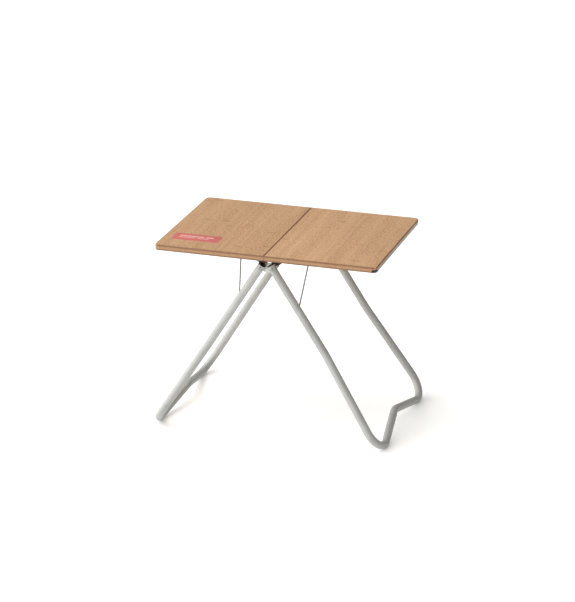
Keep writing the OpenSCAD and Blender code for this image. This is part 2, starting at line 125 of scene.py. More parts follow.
class CampTableSizes(bpy.types.PropertyGroup):
    """Sizes of the table's pieces."""

    corner_r: length("Corner radius", 9.5 * MM, "Plan radius of the boards' outer corners")
    edge_r: length("Edge rounding", 2 * MM, "Rounding of the boards' outer edges")
    seam_r: length("Seam rounding", 1.2 * MM, "Rounding of the edges along the seam")
    ply: length("Face ply", 3.1 * MM, "Thickness of each board's two face layers")
    tube_d: length("Tube diameter", 16 * MM, "Outer diameter of the leg tube")
    tube_wall: length("Tube wall", 1.5 * MM, "Wall thickness of the leg tube")
    tube_end: length("Tube end", 8 * MM, "Length of tube above the pivot")
    flare_at: length("Flare start", 206 * MM, "Distance from the pivot to the first bend")
    flare_r: length("Flare bend", 68 * MM, "Bend radius where the legs start to spread")
    foot_r: length("Foot bend", 41.5 * MM, "Bend radius at the feet")
    rail_r: length("Rail bend", 43 * MM, "Bend radius at the middle of the bottom rail")
    flare_angle: FloatProperty(name="Flare", description="Spread of the lower legs",
                               default=math.radians(7.4), subtype="ANGLE")
    rail_angle: FloatProperty(name="Rail slope", description="Slope of the bottom rail",
                              default=math.radians(13.9), subtype="ANGLE")
    splay: FloatProperty(name="Splay", description="Lean of each open leg from upright",
                         default=math.radians(32.6), subtype="ANGLE")
    wire_d: length("Wire diameter", 3 * MM, "Diameter of the stay wire")
    bar_x: length("Stay bar", 60.5 * MM, "Distance of the stay's bar from the pivot rod")
    bar_drop: length("Bar depth", 11.5 * MM, "Depth of the stay's bar below the board")
    bar_half: length("Half bar", 84 * MM, "Half the length of the stay's bar")
    rod_d: length("Rod diameter", 6 * MM, "Diameter of the pivot rods")
    barrel_d: length("Barrel diameter", 13 * MM, "Diameter of the bracket barrels")
    barrel_l: length("Barrel length", 12 * MM, "Length of the bracket barrels")
    flange_t: length("Flange thickness", 3 * MM, "Thickness of the bracket flanges")
    hook_y: length("Hook place", 60 * MM, "Distance of the hooks from the middle")
    hook_w: length("Hook width", 18 * MM, "Width of each hook")
    hook_t: length("Hook thickness", 2.8 * MM, "Thickness of the hooks")
    screw_d: length("Screw shank", 2.8 * MM, "Shank diameter of the wood screws")
    round_steps: IntProperty(name="Steps round a tube", description="Faces round each tube",
                             default=48, min=12, max=128)


class CampTableFinish(bpy.types.PropertyGroup):
    """Colours of the table's finishes."""

    bamboo_light: colour("Bamboo, light", "C7A17C", "Lightest strips of the boards")
    bamboo_mid: colour("Bamboo, middle", "B89069", "Usual strips of the boards")
    bamboo_dark: colour("Bamboo, dark", "9C734F", "Darkest strips of the boards")
    bamboo_edge: colour("Bamboo, edge", "6B4226", "Cut edges of the boards")
    node_brown: colour("Bamboo knuckle", "7B573A", "Marks where the cane had its joints")
    tube_silver: colour("Tube silver", "B3B3B0", "Matt anodised leg tube")
    # dark grey: partly the end strips' own metal colour, partly painted shade along the lower edge
    # of each board end
    strip_silver: colour("Strip silver", "80807C", "Metal strips let into the board ends")
    wire_silver: colour("Wire silver", "8A8A87", "Stay wire")
    plate_silver: colour("Plate silver", "CFCFCA", "Hub plates")
    steel: colour("Fastener steel", "A6A5A1", "Rods, washers, rings and screws")
    plug_black: colour("Plug black", "1D1916", "Plugs in the tube ends")
    moulding_black: colour("Moulding black", "231E1A", "Brackets, hooks and bushes")
    # black: partly the bumper's own moulded colour, partly painted shade under the front right
    # corner's rounded rim
    rubber_black: colour("Rubber black", "2A2420", "Corner bumper")
    label_red: colour("Label red", "C0615A", "Ground of the label")
    label_pale: colour("Label stripes", "EBB9B2", "Pale stripes of the label")
    floor_white: colour("Floor", "F4F4F3", "Studio floor")


# ---------------------------------------------------------------- shader building


class Value:
    """A shader output that Python arithmetic can be done with."""

    def __init__(self, shader, socket):
        self.shader = shader
        self.socket = socket

    def __add__(self, other):
        return self.shader.math("ADD", self, other)

    def __sub__(self, other):
        return self.shader.math("SUBTRACT", self, other)

    def __rsub__(self, other):
        return self.shader.math("SUBTRACT", other, self)

    def __mul__(self, other):
        return self.shader.math("MULTIPLY", self, other)

    def __truediv__(self, other):
        return self.shader.math("DIVIDE", self, other)

    __radd__ = __add__
    __rmul__ = __mul__

    def __abs__(self):
        return self.shader.math("ABSOLUTE", self)


class Shader:
    """One material's node tree, ending in a Principled BSDF."""

    def __init__(self, name, **constants):
        self.material = bpy.data.materials.new(name)
        self.material.use_nodes = True
        self.tree = self.material.node_tree
        self.tree.nodes.clear()
        self.surface = self.tree.nodes.new("ShaderNodeBsdfPrincipled")
        output = self.tree.nodes.new("ShaderNodeOutputMaterial")
        self.tree.links.new(self.surface.outputs[0], output.inputs["Surface"])
        for key, value in constants.items():
            self.feed(key.replace("_", " ").title().replace("Ior", "IOR"), value)
        place = self.tree.nodes.new("ShaderNodeTexCoord")
        self.place = Value(self, place.outputs["Object"])
        self.x, self.y, self.z = (self.part(self.place, i) for i in range(3))

    def add(self, kind, settings, sockets, out=0):
        """Adds a node: its settings first, then the values or links of its sockets."""
        node = self.tree.nodes.new(kind)
        for key, value in settings.items():
            if key == "stops":
                self.set_stops(node.color_ramp, value)
            else:
                setattr(node, key, value)
        for key, value in sockets.items():
            self.join(value, node.inputs[key])
        return Value(self, node.outputs[out])

    def set_stops(self, ramp, stops):
        """Gives a ramp its stops, as (place, colour)."""
        while len(ramp.elements) < len(stops):
            ramp.elements.new(1.0)
        for element, (place, rgb) in zip(ramp.elements, stops):
            element.position = place
            element.color = (*rgb, 1.0)

    def join(self, value, socket):
        if isinstance(value, Value):
            self.tree.links.new(value.socket, socket)
        else:
            socket.default_value = value

    def feed(self, name, value):
        """Sets or links one of the surface's own sockets."""
        self.join(value, self.surface.inputs[name])

    def math(self, operation, *values):
        return self.add("ShaderNodeMath", {"operation": operation}, dict(enumerate(values)))

    def part(self, vector, axis):
        return self.add("ShaderNodeSeparateXYZ", {}, {0: vector}, axis)

    def point(self, x, y, z=0.0):
        return self.add("ShaderNodeCombineXYZ", {}, {0: x, 1: y, 2: z})

    def steps(self, value, low, high):
        """0 below low, 1 above high and a smooth change between them."""
        return self.add("ShaderNodeMapRange", {"interpolation_type": "SMOOTHSTEP"},
                        {"Value": value, "From Min": low, "From Max": high})

    def noise(self, where, scale, detail=3.0, roughness=0.55):
        return self.add("ShaderNodeTexNoise", {},
                        {"Vector": where, "Scale": scale, "Detail": detail,
                         "Roughness": roughness})

    def chance(self, number):
        """A fixed random share for each whole number."""
        return self.add("ShaderNodeTexWhiteNoise", {"noise_dimensions": "1D"}, {"W": number})

    def ramp(self, value, stops):
        return self.add("ShaderNodeValToRGB", {"stops": stops}, {0: value})

    def blend(self, share, first, second):
        """Two colours mixed by share."""
        first, second = ((*c, 1.0) if not isinstance(c, Value) else c for c in (first, second))
        return self.add("ShaderNodeMix", {"data_type": "RGBA"},
                        {0: share, 6: first, 7: second}, 2)

    def bump(self, height, distance, strength):
        return self.add("ShaderNodeBump", {}, {"Height": height, "Distance": distance,
                                               "Strength": strength})


def bamboo(finish, sizes):
    """Laminated bamboo: narrow strips along the seam, with fibres, cane joints and cut edges."""
    s = Shader("bamboo", coat_weight=0.12, coat_roughness=0.3, ior=1.45)
    strip_w, group_w, joint_gap = 6.4 * MM, 19.2 * MM, 0.29
    strip = s.math("FLOOR", s.x / strip_w)
    group = s.math("FLOOR", s.x / group_w)
    own = s.chance(strip)
    fibre = s.noise(s.point(s.x * 420, s.y * 11, s.z * 90), 1.0, 5.0, 0.6)
    drift = s.noise(s.point(s.x * 34, s.y * 3.2), 1.0, 2.0)
    speck = s.noise(s.point(s.x * 330, s.y * 150), 1.0, 2.0, 0.7)
    tone = (0.5 + (own - 0.5) * 0.14 + (fibre - 0.5) * 0.7 + (drift - 0.5) * 0.5
            + (speck - 0.5) * 1.9)
    wood = s.ramp(tone, [(0.12, finish.bamboo_dark), (0.48, finish.bamboo_mid),
                         (0.92, finish.bamboo_light)])
    # cane joints: a soft short brown band across some groups of strips
    along = s.y + s.chance(group + 31.5) * joint_gap + (own - 0.5) * 5 * MM
    place = s.math("FRACT", along / joint_gap)
    far = abs(place - 0.5) * joint_gap
    wanted = s.steps(s.chance(group + 77.5), 0.4, 0.44)
    ragged = s.noise(s.point(s.x * 260, s.y * 120), 1.0, 3.0)
    mark = (1 - s.steps(far + (ragged - 0.5) * 7 * MM, 0.6 * MM, 7 * MM)) * wanted
    mark = mark * s.steps(ragged, 0.4, 0.6)
    wood = s.blend(mark * 0.5, wood, finish.node_brown)
    # thin joints between strips
    inside = abs(s.math("FRACT", s.x / strip_w) - 0.5)
    joint = s.steps(inside, 0.47, 0.495)
    wood = s.blend(joint * 0.14, wood, finish.bamboo_dark)
    # cut edges, in three plies
    reach = s.math("MAXIMUM", abs(s.y) - BOARD_HIGH.y, abs(s.x) - BOARD_HIGH.x)
    reach = s.math("MAXIMUM", reach, 0.3 * MM - abs(s.x))
    edge = s.steps(reach, -2.3 * MM, -1.1 * MM)
    middle = (BOARD_LOW.z + BOARD_HIGH.z) / 2
    off_middle = abs(s.z - middle)
    core_half = BOARD_T / 2 - sizes.ply
    face_ply = s.steps(off_middle, core_half - 0.1 * MM, core_half + 0.1 * MM)
    glue = 1 - s.steps(abs(off_middle - core_half), 0.12 * MM, 0.34 * MM)
    pores = s.noise(s.point(s.x * 900, s.y * 300, s.z * 900), 1.0, 3.0, 0.7)
    cut = s.blend(0.36 + face_ply * 0.56, finish.bamboo_mid, finish.bamboo_edge)
    cut = s.blend(s.steps(pores, 0.45, 0.75) * 0.35, cut, finish.node_brown)
    cut = s.blend(glue * 0.55, cut, finish.node_brown)
    wood = s.blend(edge * 0.85, wood, cut)
    s.feed("Base Color", wood)
    s.feed("Roughness", 0.5 + (fibre - 0.5) * 0.16 + mark * 0.08 + edge * 0.12)
    relief = (fibre - 0.5) * 0.5 - joint * 0.6 - glue * edge * 1.2 - mark * 0.3
    s.feed("Normal", s.bump(relief, 0.06 * MM, 0.7))
    return s.material


def drawn_metal(name, tint, rough, streak=0.12, worn_below=None):
    """Metal with fine draw lines along its length, read from the piece's own UV map."""
    s = Shader(name, metallic=0.3, specular_ior_level=0.25)
    lines_at = s.add("ShaderNodeUVMap", {"uv_map": "drawn"}, {})
    u, v = s.part(lines_at, 0), s.part(lines_at, 1)
    lines = s.noise(s.point(u * 1400, v * 9), 1.0, 4.0, 0.65)
    cloud = s.noise(s.place, 26.0, 3.0)
    grain = s.noise(s.place, 2600.0, 2.0)
    dark = [c * 0.86 for c in tint]
    body = s.blend(s.steps(lines * 0.5 + cloud * 0.5, 0.3, 0.68), dark, tint)
    roughness = rough + (lines - 0.5) * streak + (cloud - 0.5) * 0.1
    if worn_below is not None:
        patch = s.steps(s.noise(s.point(s.x * 240, s.y * 90, s.z * 240), 1.0, 4.0), 0.48, 0.6)
        worn = (1 - s.steps(s.z, worn_below * 0.3, worn_below)) * patch
        body = s.blend(worn * 0.5, body, [c * 0.62 for c in tint])
        roughness = roughness + worn * 0.2
    s.feed("Base Color", body)
    s.feed("Roughness", roughness)
    s.feed("Normal", s.bump(grain * 0.6 + lines * 0.4, 0.02 * MM, 0.35))
    return s.material


def rolled_metal(name, tint, rough, direction):
    """Sheet or turned metal with fine brush lines across the given axes."""
    s = Shader(name, metallic=1.0)
    dx, dy, dz = direction
    lines = s.noise(s.point(s.x * dx, s.y * dy, s.z * dz), 1.0, 4.0, 0.6)
    cloud = s.noise(s.place, 90.0, 3.0)
    dark = [c * 0.74 for c in tint]
    s.feed("Base Color", s.blend(s.steps(lines * 0.6 + cloud * 0.4, 0.3, 0.7), dark, tint))
    s.feed("Roughness", rough + (lines - 0.5) * 0.2 + (cloud - 0.5) * 0.12)
    s.feed("Normal", s.bump(lines, 0.03 * MM, 0.5))
    return s.material


def moulded(name, tint, rough, grain_scale=900.0, grain=0.06):
    """Moulded plastic or rubber with a fine spark texture and slight sheen changes."""
    s = Shader(name, ior=1.48)
    skin = s.noise(s.place, grain_scale, 3.0, 0.6)
    cloud = s.noise(s.place, 60.0, 3.0)
    pale = [min(1.0, c * 1.5 + 0.006) for c in tint]
    s.feed("Base Color", s.blend(s.steps(cloud * 0.6 + skin * 0.4, 0.35, 0.75), tint, pale))
    s.feed("Roughness", rough + (cloud - 0.5) * 0.16 + (skin - 0.5) * 0.1)
    s.feed("Normal", s.bump(skin, grain * MM, 0.6))
    return s.material


def printed_film(finish):
    """The label: a red ground with generic pale stripes and a paler rim."""
    s = Shader("printed_film", coat_weight=0.25, coat_roughness=0.25)
    middle = (LABEL_LOW + LABEL_HIGH) / 2
    half = (LABEL_HIGH - LABEL_LOW) / 2
    x, y = s.x - middle.x, s.y - middle.y
    soft = 0.5 * MM

    def bar(cx, cy, half_l, half_w):
        """1 inside a bar, 0 outside it."""
        over_x = abs(x - cx) - half_l
        over_y = abs(y - cy) - half_w
        return 1 - s.steps(s.math("MAXIMUM", over_x, over_y), -soft, soft)

    fleck = s.noise(s.point(s.x * 150, s.y * 420), 1.0, 3.0)
    rim = s.steps(s.math("MAXIMUM", abs(x) - half.x, abs(y) - half.y), -2.4 * MM, -1.2 * MM)
    stripes = [(-12, 5.5, 26, 2.6), (26, 5.5, 8, 2.6), (-20, -3.5, 18, 1.5), (14, -3.5, 12, 1.5)]
    pale = None
    for cx, cy, half_l, half_w in stripes:
        one = bar(cx * MM, cy * MM, half_l * MM, half_w * MM)
        pale = one if pale is None else s.math("MAXIMUM", pale, one)
    ground = s.blend(s.steps(fleck, 0.42, 0.66) * 0.35, finish.label_red,
                     [min(1.0, c * 1.25) for c in finish.label_red])
    film = s.blend(pale * 0.9 + rim * 0.15, ground, finish.label_pale)
    s.feed("Base Color", film)
    s.feed("Roughness", 0.42 + (fleck - 0.5) * 0.12)
    s.feed("Normal", s.bump(s.noise(s.place, 60.0, 2.0), 0.15 * MM, 0.35))
    return s.material


# ---------------------------------------------------------------- mesh building


def groups(context):
    """The table's sizes and colours."""
    return context.scene.camp_table_sizes, context.scene.camp_table_finish


def finished(name, mesh, material, body, node):
    """Makes a piece from a mesh: smooth shading, its material, its body and what it stands for."""
    tidy = bmesh.new()
    tidy.from_mesh(mesh)
    bmesh.ops.remove_doubles(tidy, verts=tidy.verts, dist=SAME_PLACE)
    bmesh.ops.dissolve_degenerate(tidy, edges=tidy.edges, dist=SAME_PLACE)
    bmesh.ops.recalc_face_normals(tidy, faces=tidy.faces)
    tidy.to_mesh(mesh)
    tidy.free()
    mesh.name = name
    mesh.materials.clear()
    mesh.materials.append(material)
    mesh.shade_smooth()
    mesh.set_sharp_from_angle(angle=SHARP_ANGLE)
    piece = bpy.data.objects.new(name, mesh)
    bpy.context.scene.collection.objects.link(piece)
    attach(piece, body)
    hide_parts(node)
    return piece


def both_sides(*pieces):
    """Makes the pieces on the left, then on the right; {} in their names is the side."""
    for name, side in SIDES:
        for title, mesh, material, body, node, slot in pieces:
            finished(title.format(name), for_side(mesh, side), material, body.format(name),
                     node.format(name))


def fittings(kind, at_ends, plastic, screws, steel):
    """A moulded fitting at each end of each board, and the screws of each side."""
    pieces = [(kind + "_{}_" + end, mesh, plastic, "{}_half", "{}_" + end + "_" + kind,
               "black_plastic") for (end, _), mesh in zip(ENDS, at_ends)]
    both_sides(*pieces, (kind + "_{}_screws", screws, steel, "{}_half",
                         "{}_" + kind + "_screws", "fastener_steel"))


def mesh_from(points, faces):
    mesh = bpy.data.meshes.new("shape")
    mesh.from_pydata([tuple(p) for p in points], [], faces)
    mesh.update()
    return mesh


def joined(meshes, places=(Matrix.Identity(4),)):
    """One mesh that holds every given mesh at every given place."""
    points, faces = [], []
    for mesh in meshes:
        for place in places:
            start = len(points)
            points += [place @ v.co for v in mesh.vertices]
            faces += [[start + i for i in f.vertices] for f in mesh.polygons]
    return mesh_from(points, faces)


def moved(mesh, matrix):
    copy = mesh.copy()
    copy.transform(matrix)
    return copy


def shifted(mesh, x, y, z):
    return moved(mesh, Matrix.Translation((x, y, z)))


def along_y(x, y, z, way):
    """A place for a turned piece, with its axis along Y."""
    return Matrix.Translation((x, y, z)) @ Matrix.Rotation(math.radians(-90 * way), 4, "X")


def band(first, second, count):
    """Faces between two closed rings of points, given by their first numbers."""
    return [[first + k, first + (k + 1) % count, second + (k + 1) % count, second + k]
            for k in range(count)]


def for_side(mesh, side):
    """The mesh as it is on the right, or mirrored for the left."""
    return mesh if side > 0 else moved(mesh, Matrix.Scale(-1, 4, Vector((1, 0, 0))))


def arc(centre, r, start, stop, steps):
    """Points of an arc in a plane, its angles in degrees."""
    angles = [math.radians(start + (stop - start) * i / steps) for i in range(steps + 1)]
    return [(centre[0] + r * math.cos(a), centre[1] + r * math.sin(a)) for a in angles]


def rounding(here, before, after, r, steps):
    """Points of the arc of radius r that rounds off the corner between two directions."""
    half = before.angle(after) / 2
    centre = here + (before + after).normalized() * (r / math.sin(half))
    first = (here + before * (r / math.tan(half)) - centre).normalized()
    last = (here + after * (r / math.tan(half)) - centre).normalized()
    return [centre + first.slerp(last, k / steps) * r for k in range(steps + 1)]


def softened(outline, radii, steps=ROUND_STEPS):
    """An outline whose corners are rounded, each by its own radius."""
    made, count = [], len(outline)
    for i, r in enumerate(radii):
        here = Vector(outline[i])
        before = (Vector(outline[i - 1]) - here).normalized()
        after = (Vector(outline[(i + 1) % count]) - here).normalized()
        made += rounding(here, before, after, r, steps) if r > 0 else [here]
    return [tuple(p) for p in made]


def prism(outline, thickness, bevel):
    """A slab from a closed outline in XY, from z = 0 up, with its rims rounded."""
    count = len(outline)
    points = [(x, y, 0.0) for x, y in outline] + [(x, y, thickness) for x, y in outline]
    faces = [list(range(count))[::-1], list(range(count, 2 * count))] + band(0, count, count)
    mesh = mesh_from(points, faces)
    if bevel > 0:
        work = bmesh.new()
        work.from_mesh(mesh)
        rims = [e for e in work.edges if abs(e.verts[0].co.z - e.verts[1].co.z) < 1e-9]
        bmesh.ops.bevel(work, geom=rims, offset=bevel, segments=3, profile=0.5,
                        affect="EDGES", clamp_overlap=True)
        work.to_mesh(mesh)
        work.free()
    return mesh


def upright(mesh, y, thickness):
    """Stands a slab up so that its outline is in XZ, centred on y along its thickness."""
    return moved(mesh, Matrix.Translation((0, y + thickness / 2, 0))
                 @ Matrix.Rotation(math.radians(90), 4, "X"))


def lathe(profile, steps, closed=False):
    """Turns (radius, height) points round Z."""
    count = len(profile)
    points = []
    for k in range(steps):
        c, s = math.cos(math.tau * k / steps), math.sin(math.tau * k / steps)
        points += [(r * c, r * s, h) for r, h in profile]
    faces = []
    for k in range(steps):
        a, b = k * count, (k + 1) % steps * count
        for i in range(count if closed else count - 1):
            j = (i + 1) % count
            faces.append([a + i, b + i, b + j, a + j])
    mesh = mesh_from(points, faces)
    work = bmesh.new()
    work.from_mesh(mesh)
    bmesh.ops.remove_doubles(work, verts=work.verts, dist=SAME_PLACE)
    work.to_mesh(mesh)
    work.free()
    return mesh


def washer_profile(inner, outer, thickness, bevel):
    """Closed section of a ring with rounded outer rims."""
    return ([(inner, 0.0)]
            + arc((outer - bevel, bevel), bevel, -90, 0, 3)
            + arc((outer - bevel, thickness - bevel), bevel, 0, 90, 3)
            + [(inner, thickness)])


def dome_profile(r, height, flat):
    """Open section of a domed head, from its rim to its top on the axis."""
    ball = (r * r + height * height) / (2 * height)
    span = math.degrees(math.asin(min(1.0, r / ball)))
    return [(0.0, -flat), (r, -flat), (r, 0.0)] + [
        (ball * math.sin(math.radians(a)), height - ball + ball * math.cos(math.radians(a)))
        for a in [span * (1 - k / 6) for k in range(1, 7)]]


def fused(first, others, how="UNION"):
    """Joins or cuts closed meshes exactly."""
    base = bpy.data.objects.new("base", first)
    bpy.context.scene.collection.objects.link(base)
    helpers = []
    for mesh in others:
        helper = bpy.data.objects.new("helper", mesh)
        bpy.context.scene.collection.objects.link(helper)
        step = base.modifiers.new("step", "BOOLEAN")
        step.operation, step.solver, step.object = how, "EXACT", helper
        helpers.append(helper)
    bpy.context.view_layer.update()
    result = bpy.data.meshes.new_from_object(
        base.evaluated_get(bpy.context.evaluated_depsgraph_get()))
    for item in (base, *helpers):
        bpy.data.objects.remove(item)
    return result


def block(low, high):
    """A plain cutter between two corners."""
    (x0, y0, z0), (x1, y1, z1) = low, high
    points = [(x, y, z) for z in (z0, z1) for x, y in ((x0, y0), (x1, y0), (x1, y1), (x0, y1))]
    return mesh_from(points, [[3, 2, 1, 0], [4, 5, 6, 7]] + band(0, 4, 4))


def bent_line(path, bends, steps):
    """Centre line of a bar bent at the corners of a path, as points close together."""
    line = [path[0]]
    for i in range(1, len(path) - 1):
        here = path[i]
        before = (path[i - 1] - here).normalized()
        after = (path[i + 1] - here).normalized()
        line += rounding(here, before, after, bends[i], steps)
    return line + [path[-1]]


def spaced(line, step):
    """Adds points along the straight runs, about a step apart."""
    made = [line[0]]
    for a, b in zip(line, line[1:]):
        parts = max(1, round((b - a).length / step))
        made += [a.lerp(b, k / parts) for k in range(1, parts + 1)]
    return made


def swept(line, normal, r, steps, wall=0.0):
    """A round bar along a flat line, or a tube if it is given a wall, with a UV map."""
    count = len(line)
    rings, lengths, run = [], [], 0.0
    for i, here in enumerate(line):
        before, after = line[max(i - 1, 0)], line[min(i + 1, count - 1)]
        run += (here - line[i - 1]).length if i else 0.0
        lengths.append(run)
        rings.append((here, (after - before).normalized().cross(normal)))
    points, faces, uvs = [], [], []
    span = count * steps
    for shell, shell_r in enumerate([r, r - wall] if wall > 0 else [r]):
        for here, across in rings:
            for k in range(steps):
                a = math.tau * k / steps
                points.append(here + (normal * math.cos(a) + across * math.sin(a)) * shell_r)
        for i in range(count - 1):
            start = shell * span + i * steps
            faces += band(start, start + steps, steps)
            for k in range(steps):
                u0, u1 = (n / steps * DRAWN_WIDTH for n in (k, k + 1))
                uvs.append([(u0, lengths[i]), (u1, lengths[i]),
                            (u1, lengths[i + 1]), (u0, lengths[i + 1])])
    for base in (0, span - steps):
        faces += band(base, span + base, steps) if wall > 0 else [
            [base + k for k in range(steps)]]
    uvs += [[(0.0, 0.0)] * len(face) for face in faces[len(uvs):]]
    mesh = mesh_from(points, faces)
    layer = mesh.uv_layers.new(name="drawn")
    layer.data.foreach_set("uv", [c for face in uvs for pair in face for c in pair])
    return mesh


# ---------------------------------------------------------------- the boards


def edge_inset(z, r):
    """How far a rounded edge steps in at a height above the board's underside."""
    d = min(z, BOARD_T - z)
    return 0.0 if d >= r else r - math.sqrt(max(0.0, r * r - (r - d) ** 2))


def round_heights(r):
    """Heights over a rounded edge, close together where it is steep."""
    return [r * (1 - math.cos(math.radians(90) * k / ROUND_STEPS)) for k in range(ROUND_STEPS + 1)]


def board_levels(sizes, marks):
    """Heights of the rings of a board, close together over its rounded edges."""
    levels = set(marks)
    for d in round_heights(sizes.edge_r) + round_heights(sizes.seam_r):
        levels |= {round(d, 7), round(BOARD_T - d, 7)}
    return sorted(levels)


def board_mesh(sizes, with_bumper):
    """The right board: rounded edges, and recesses for its end strip and its bumper."""
    x0, x1, half_d, corner = BOARD_LOW.x, BOARD_HIGH.x, BOARD_HIGH.y, sizes.corner_r
    recesses = {"strip": (STRIP_T, STRIP_H)}
    if with_bumper:
        recesses["bumper"] = (BUMPER_T, BUMPER_H)
    cx, cy = x1 - corner, half_d - corner
    # each outline point: place, inward way of the outer edge, of the seam edge, recess kind
    outline = [((x0, -half_d), (0, 1), (1, 0), ""), ((cx, -half_d), (0, 1), (0, 0), "")]
    for sy, kind in ((-1, "bumper"), (1, "")):
        turns = range(CORNER_STEPS + 1)
        for k in (turns if sy < 0 else reversed(turns)):
            a = math.radians(90 - 90 * k / CORNER_STEPS)
            c, s = math.cos(a), sy * math.sin(a)
            outline.append(((cx + corner * c, sy * cy + corner * s), (-c, -s), (0, 0), kind))
        if sy < 0:
            outline += [((x1, -cy), (-1, 0), (0, 0), "strip"), ((x1, cy), (-1, 0), (0, 0), "strip")]
    outline += [((cx, half_d), (0, -1), (0, 0), ""), ((x0, half_d), (0, -1), (1, 0), "")]
    marks = [height for _, height in recesses.values()]
    rings = []
    for z in board_levels(sizes, marks):
        for below in ((True, False) if z in marks else (z < max(marks),)):
            rings.append((z, below))
    points, faces = [], []
    for z, below in rings:
        for (px, py), out, seam, kind in outline:
            inset, side = edge_inset(z, sizes.edge_r), edge_inset(z, sizes.seam_r)
            if kind in recesses:
                depth, height = recesses[kind]
                if z < height or (below and z == height):
                    inset = depth
            points.append((px + out[0] * inset + seam[0] * side, py + out[1] * inset,
                           BOARD_LOW.z + z))
    count = len(outline)
    for i in range(len(rings) - 1):
        faces += band(i * count, (i + 1) * count, count)
    faces += [list(range(count))[::-1], [len(points) - count + k for k in range(count)]]
    return mesh_from(points, faces)


def edge_section(sizes, depth, height, bevel):
    """Section of a strip in a board's lower outer edge, as (inset, height above underside)."""
    outer = [(edge_inset(z, sizes.edge_r), z) for z in round_heights(sizes.edge_r)]
    return [(depth, 0.0)] + outer + [(0.0, height - bevel), (bevel, height), (depth, height)]


class CAMPTABLE_OT_boards(bpy.types.Operator):
    """Builds the two bamboo boards"""

    bl_idname = "camptable.boards"
    bl_label = "Boards"

    def execute(self, context):
        sizes, finish = groups(context)
        wood = bamboo(finish, sizes)
        for name, side in SIDES:
            mesh = for_side(board_mesh(sizes, side > 0), side)
            finished(f"bamboo_{name}_board", mesh, wood, f"{name}_half", f"{name}_board")
        return {"FINISHED"}


class CAMPTABLE_OT_end_trim(bpy.types.Operator):
    """Builds the metal end strips and the corner bumper, whose dark tones are partly painted shade
    """

    bl_idname = "camptable.end_trim"
    bl_label = "End strips and bumper"

    def execute(self, context):
        sizes, finish = groups(context)
        # the strips' dark grey is partly painted shade along the lower edge of each board end
        metal = rolled_metal("end_strip_metal_and_shade", finish.strip_silver, 0.38, (900, 14, 900))
        section = edge_section(sizes, STRIP_T, STRIP_H, 0.25 * MM)
        outline = [(BOARD_HIGH.x - inset, BOARD_LOW.z + z) for inset, z in section]
        run = STRIP_HIGH.y - STRIP_LOW.y
        strip = upright(prism(outline, run, 0.15 * MM), 0.0, run)
        both_sides(("trim_{}_end_strip", strip, metal, "{}_half", "{}_end_strip", "end_metal"))
        # a black piece on the front right corner only, partly painted shade of that corner's
        # rounded underside
        finished("trim_corner_bumper", self.bumper(sizes),
                 moulded("bumper_rubber", finish.rubber_black, 0.72, 1400.0, 0.05),
                 "right_half", "corner_bumper")
        return {"FINISHED"}

    def bumper(self, sizes):
        """The front corner's bumper, turned through a quarter of a circle; its black is partly
        painted shade under that corner's rounded rim.
        """
        section = edge_section(sizes, BUMPER_T, BUMPER_H, 0.6 * MM)
        cx, cy = BOARD_HIGH.x - sizes.corner_r, -BOARD_HIGH.y + sizes.corner_r
        points, faces, count = [], [], len(section)
        for k in range(CORNER_STEPS + 1):
            a = math.radians(-90 + 90 * k / CORNER_STEPS)
            points += [(cx + (sizes.corner_r - inset) * math.cos(a),
                        cy + (sizes.corner_r - inset) * math.sin(a), BOARD_LOW.z + z)
                       for inset, z in section]
        for k in range(CORNER_STEPS):
            faces += band(k * count, (k + 1) * count, count)
        faces += [list(range(count)), [CORNER_STEPS * count + i for i in range(count)][::-1]]
        return mesh_from(points, faces)


class CAMPTABLE_OT_label(bpy.types.Operator):
    """Builds the label film on the left board"""

    bl_idname = "camptable.label"
    bl_label = "Label"

    def execute(self, context):
        (x0, y0, z0), (x1, y1, z1) = LABEL_LOW, LABEL_HIGH
        round_r = 5 * MM
        outline = softened([(x0, y0), (x1, y0), (x1, y1), (x0, y1)], [round_r] * 4, 10)
        film = shifted(prism(outline, z1 - z0, 0.08 * MM), 0, 0, z0)
        finished("label_film", film, printed_film(groups(context)[1]), "left_half", "label")
        return {"FINISHED"}


# ---------------------------------------------------------------- legs and stays


def leg_frame(sizes):
    """Turns the leg's own plane into its open place on the right."""
    return Matrix.Translation(ROD) @ Matrix.Rotation(-sizes.splay, 4, "Y")


def leg_line(sizes):
    """Centre line of the leg tube in its own plane, and where its bends are."""
    flare, slope = sizes.flare_angle, sizes.rail_angle
    tube_r, splay = sizes.tube_d / 2, sizes.splay
    tube_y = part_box("right_tube_plugs")[1].y - tube_r
    half_corner = (math.radians(90) - flare - slope) / 2
    lift = sizes.foot_r * (math.sin(slope + half_corner) / math.sin(half_corner) - 1)
    foot_drop = (ROD.z - tube_r) / math.cos(splay) + lift
    foot_y = tube_y + (foot_drop - sizes.flare_at) * math.tan(flare)
    rail_drop = foot_drop - foot_y * math.tan(slope)
    top = sizes.tube_end - PLUG_LIP
    path = [Vector((0, y, z)) for y, z in (
        (-tube_y, top), (-tube_y, -sizes.flare_at), (-foot_y, -foot_drop), (0, -rail_drop),
        (foot_y, -foot_drop), (tube_y, -sizes.flare_at), (tube_y, top))]
    bends = [0, sizes.flare_r, sizes.foot_r, sizes.rail_r, sizes.foot_r, sizes.flare_r, 0]
    return path, bends, tube_y


